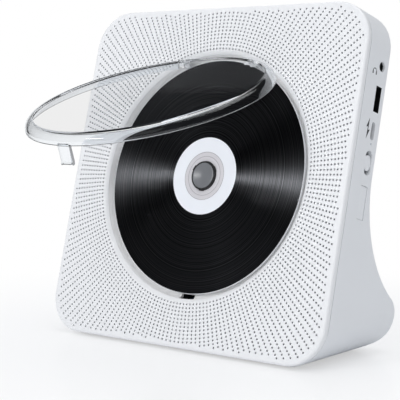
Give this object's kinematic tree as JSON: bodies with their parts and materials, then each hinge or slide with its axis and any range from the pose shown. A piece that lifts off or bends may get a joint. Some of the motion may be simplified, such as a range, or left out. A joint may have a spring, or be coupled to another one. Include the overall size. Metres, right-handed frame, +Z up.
{
  "type": "wall mounted cd player",
  "caption": "Compact disc player with a perforated leaning front, hinged clear lid, disc drive, loudspeakers, side sockets, keys and a flared heel with rear keyholes.",
  "frame": {"origin": "middle of the base pad's underside, on the floor", "axes": "+Z up, front of the player towards -Y, side sockets towards +X"},
  "size_m": [0.1726, 0.1417, 0.1704],
  "materials": {
    "shell_white": "satin moulded ABS",
    "plate_white": "satin moulded ABS with fine perforation",
    "well_white": "smooth moulded ABS",
    "control_white": "satin moulded ABS",
    "lid_clear": "clear moulded acrylic",
    "pad_rubber": "matt moulded rubber",
    "frame_dark": "black moulded ABS",
    "steel": "ground steel",
    "chassis_steel": "zinc-plated sheet steel",
    "motor_steel": "drawn steel can",
    "damper_rubber": "soft butyl rubber",
    "disc_black": "polycarbonate with a black recording side",
    "hub_dark": "black acetal",
    "hub_grey": "grey moulded ABS",
    "sled_dark": "glass-filled plastic",
    "lens_glass": "coated lens",
    "gear_acetal": "natural acetal",
    "brass": "turned brass",
    "board_green": "glass-epoxy laminate with green solder mask",
    "chip_black": "black moulded epoxy",
    "can_blue": "aluminium can in a blue sleeve",
    "socket_steel": "nickel-plated steel",
    "jack_black": "black moulded nylon",
    "light_clear": "clear light guide",
    "basket_dark": "black-painted steel",
    "cone_paper": "coated paper pulp",
    "magnet_grey": "sintered ferrite with plated poles",
    "cell_blue": "steel can in a blue film",
    "cable_film": "flat film cable"
  },
  "bodies": {
    "case": {"front_plate": "plate_white", "rear_housing": "shell_white", "base_pad": "pad_rubber", "inner_frame": "frame_dark", "disc_well": "well_white", "hinge_pins": "steel", "lid_catch": "frame_dark", "lid_switch": "chip_black", "spindle_motor": "motor_steel", "mech_chassis": "chassis_steel", "chassis_dampers": "damper_rubber", "damper_screws": "steel", "guide_rods": "steel", "rod_holders": "frame_dark", "gear_post": "steel", "sled_motor": "motor_steel", "main_board": "board_green", "board_chips": "chip_black", "board_capacitors": "can_blue", "side_board": "board_green", "usb_socket": "socket_steel", "charge_socket": "socket_steel", "headphone_jack": "jack_black", "status_light": "light_clear", "power_switch": "chip_black", "key_board": "board_green", "key_switches": "chip_black", "ir_receiver": "chip_black", "speaker_frame_left": "basket_dark", "speaker_frame_right": "basket_dark", "speaker_magnets": "magnet_grey", "battery_cells": "cell_blue", "battery_tray": "frame_dark", "housing_screws": "steel", "link_cable": "cable_film"},
    "lid": {"lid": "lid_clear", "hinge_arms": "control_white"},
    "spinner": {"disc": "disc_black", "turntable": "hub_dark", "hub_cap": "hub_grey", "hub_claws": "hub_dark", "spindle_shaft": "steel"},
    "sled": {"pickup_sled": "sled_dark", "sled_rack": "gear_acetal"},
    "lens": {"lens_holder": "hub_dark", "pickup_lens": "lens_glass"},
    "gear": {"drive_gear": "gear_acetal"},
    "pinion": {"motor_pinion": "brass"},
    "power_knob": {"power_knob": "control_white"},
    "side_key": {"side_key": "control_white"},
    "key_previous": {"key_previous": "control_white"},
    "key_play": {"key_play": "control_white"},
    "key_next": {"key_next": "control_white"},
    "key_volume_down": {"key_volume_down": "control_white"},
    "key_volume_up": {"key_volume_up": "control_white"},
    "cone_left": {"speaker_cone_left": "cone_paper"},
    "cone_right": {"speaker_cone_right": "cone_paper"}
  },
  "joints": [
    {"name": "lid_hinge", "type": "hinge", "parent": "case", "child": "lid", "pos_m": [0, 0.00439, 0.14068], "axis": [-1, 0, 0], "range_deg": [-57, 11.4]},
    {"name": "disc_spin", "type": "hinge", "parent": "case", "child": "spinner", "pos_m": [0, -0.00871, 0.08519], "axis": [0, -0.967, 0.2546], "continuous": true},
    {"name": "sled_travel", "type": "slide", "parent": "case", "child": "sled", "axis": [-1, 0, 0], "range_m": [0, 0.034]},
    {"name": "lens_focus", "type": "slide", "parent": "sled", "child": "lens", "axis": [0, -0.967, 0.2546], "range_m": [-0.0004, 0.0004], "stiffness_N_per_m": 300},
    {"name": "gear_spin", "type": "hinge", "parent": "case", "child": "gear", "pos_m": [-0.04, -0.00992, 0.05035], "axis": [0, -0.967, 0.2546], "range_deg": [-1, 558]},
    {"name": "pinion_spin", "type": "hinge", "parent": "case", "child": "pinion", "pos_m": [-0.03229, -0.01226, 0.04146], "axis": [0, -0.967, 0.2546], "range_deg": [-1671, 1]},
    {"name": "power_slide", "type": "slide", "parent": "case", "child": "power_knob", "axis": [0, 0.2546, 0.967], "range_m": [-0.0018, 0.0018]},
    {"name": "side_key_press", "type": "slide", "parent": "case", "child": "side_key", "axis": [-1, 0, 0], "range_m": [0, 0.0005], "stiffness_N_per_m": 800, "springref_m": -0.0002},
    {"name": "key_previous_press", "type": "slide", "parent": "case", "child": "key_previous", "axis": [0, -0.2546, -0.967], "range_m": [0, 0.0005], "stiffness_N_per_m": 800, "springref_m": -0.0002},
    {"name": "key_play_press", "type": "slide", "parent": "case", "child": "key_play", "axis": [0, -0.2546, -0.967], "range_m": [0, 0.0005], "stiffness_N_per_m": 800, "springref_m": -0.0002},
    {"name": "key_next_press", "type": "slide", "parent": "case", "child": "key_next", "axis": [0, -0.2546, -0.967], "range_m": [0, 0.0005], "stiffness_N_per_m": 800, "springref_m": -0.0002},
    {"name": "key_volume_down_press", "type": "slide", "parent": "case", "child": "key_volume_down", "axis": [0, -0.2546, -0.967], "range_m": [0, 0.0005], "stiffness_N_per_m": 800, "springref_m": -0.0002},
    {"name": "key_volume_up_press", "type": "slide", "parent": "case", "child": "key_volume_up", "axis": [0, -0.2546, -0.967], "range_m": [0, 0.0005], "stiffness_N_per_m": 800, "springref_m": -0.0002},
    {"name": "cone_left_stroke", "type": "slide", "parent": "case", "child": "cone_left", "axis": [0, -0.967, 0.2546], "range_m": [-0.0006, 0.0006], "stiffness_N_per_m": 1500},
    {"name": "cone_right_stroke", "type": "slide", "parent": "case", "child": "cone_right", "axis": [0, -0.967, 0.2546], "range_m": [-0.0006, 0.0006], "stiffness_N_per_m": 1500}
  ],
  "couplings": [
    {"joint": "gear_spin", "follows": "sled_travel", "rad_per_m": 285.71},
    {"joint": "pinion_spin", "follows": "sled_travel", "rad_per_m": -857.14}
  ]
}
